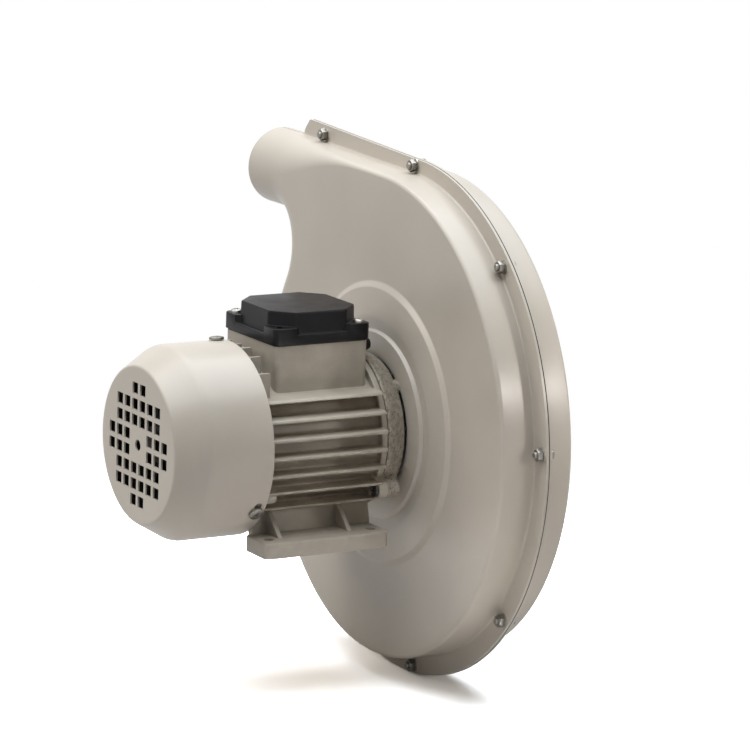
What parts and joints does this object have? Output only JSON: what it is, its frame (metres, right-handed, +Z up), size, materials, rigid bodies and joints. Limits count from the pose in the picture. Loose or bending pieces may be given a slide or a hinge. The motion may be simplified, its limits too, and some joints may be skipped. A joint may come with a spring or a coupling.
{
  "type": "centrifugal fan",
  "caption": "Direct-drive centrifugal blower: finned foot-mounted motor with fan cowl and terminal box, bolted to a pressed split scroll casing with a round side outlet and a guarded inlet.",
  "frame": {"origin": "centre of the four foot holes, on the mounting surface under the feet", "axes": "+Z up, +Y along the shaft from the cooling fan to the scroll, outlet towards -X"},
  "size_m": [0.38, 0.25, 0.374],
  "materials": {
    "sheet_paint": "warm grey satin paint on pressed steel",
    "casting_paint": "warm grey satin paint on a die casting",
    "raw_casting": "rough sand casting with a thin coat of paint",
    "black_plastic": "moulded black plastic",
    "zinc_fasteners": "bright zinc plate",
    "bearing_steel": "ground steel",
    "lamination_steel": "stacked electrical sheet",
    "copper_wire": "varnished copper wire",
    "terminal_brass": "plain brass",
    "wheel_aluminium": "mill aluminium",
    "gasket_rubber": "dark gasket rubber"
  },
  "bodies": {
    "housing": {"rear_scroll_half": "sheet_paint", "front_scroll_half": "sheet_paint", "flange_gasket": "gasket_rubber", "scroll_bolts": "zinc_fasteners", "scroll_washers": "zinc_fasteners", "scroll_nuts": "zinc_fasteners", "inlet_ring": "sheet_paint", "inlet_guard": "zinc_fasteners", "inlet_screws": "zinc_fasteners", "motor_mount_screws": "zinc_fasteners", "front_endshield": "raw_casting", "shaft_seal": "gasket_rubber", "bearing_outer_rings": "bearing_steel", "wave_washer": "bearing_steel", "motor_frame": "casting_paint", "stator_core": "lamination_steel", "stator_windings": "copper_wire", "rear_endshield": "raw_casting", "front_shield_bolts": "zinc_fasteners", "rear_shield_bolts": "zinc_fasteners", "fan_cowl": "sheet_paint", "cowl_screws": "zinc_fasteners", "terminal_box": "casting_paint", "box_screws": "zinc_fasteners", "terminal_block": "black_plastic", "terminal_studs": "terminal_brass", "cable_gland": "black_plastic", "gland_nut": "black_plastic", "lid_gasket": "gasket_rubber", "terminal_lid": "black_plastic", "lid_screws": "zinc_fasteners"},
    "rotor": {"shaft": "bearing_steel", "rotor_core": "lamination_steel", "rotor_cage": "wheel_aluminium", "bearing_inner_rings": "bearing_steel", "bearing_balls": "bearing_steel", "cooling_fan": "black_plastic", "fan_clip": "bearing_steel", "impeller_hub": "wheel_aluminium", "impeller_back_plate": "wheel_aluminium", "impeller_blades": "wheel_aluminium", "impeller_shroud": "wheel_aluminium", "impeller_rivets": "wheel_aluminium", "impeller_key": "bearing_steel", "impeller_washer": "zinc_fasteners", "impeller_bolt": "zinc_fasteners"}
  },
  "joints": [
    {"name": "rotor_spin", "type": "hinge", "parent": "housing", "child": "rotor", "pos_m": [0, 0, 0.071], "axis": [0, -1, 0], "continuous": true}
  ]
}
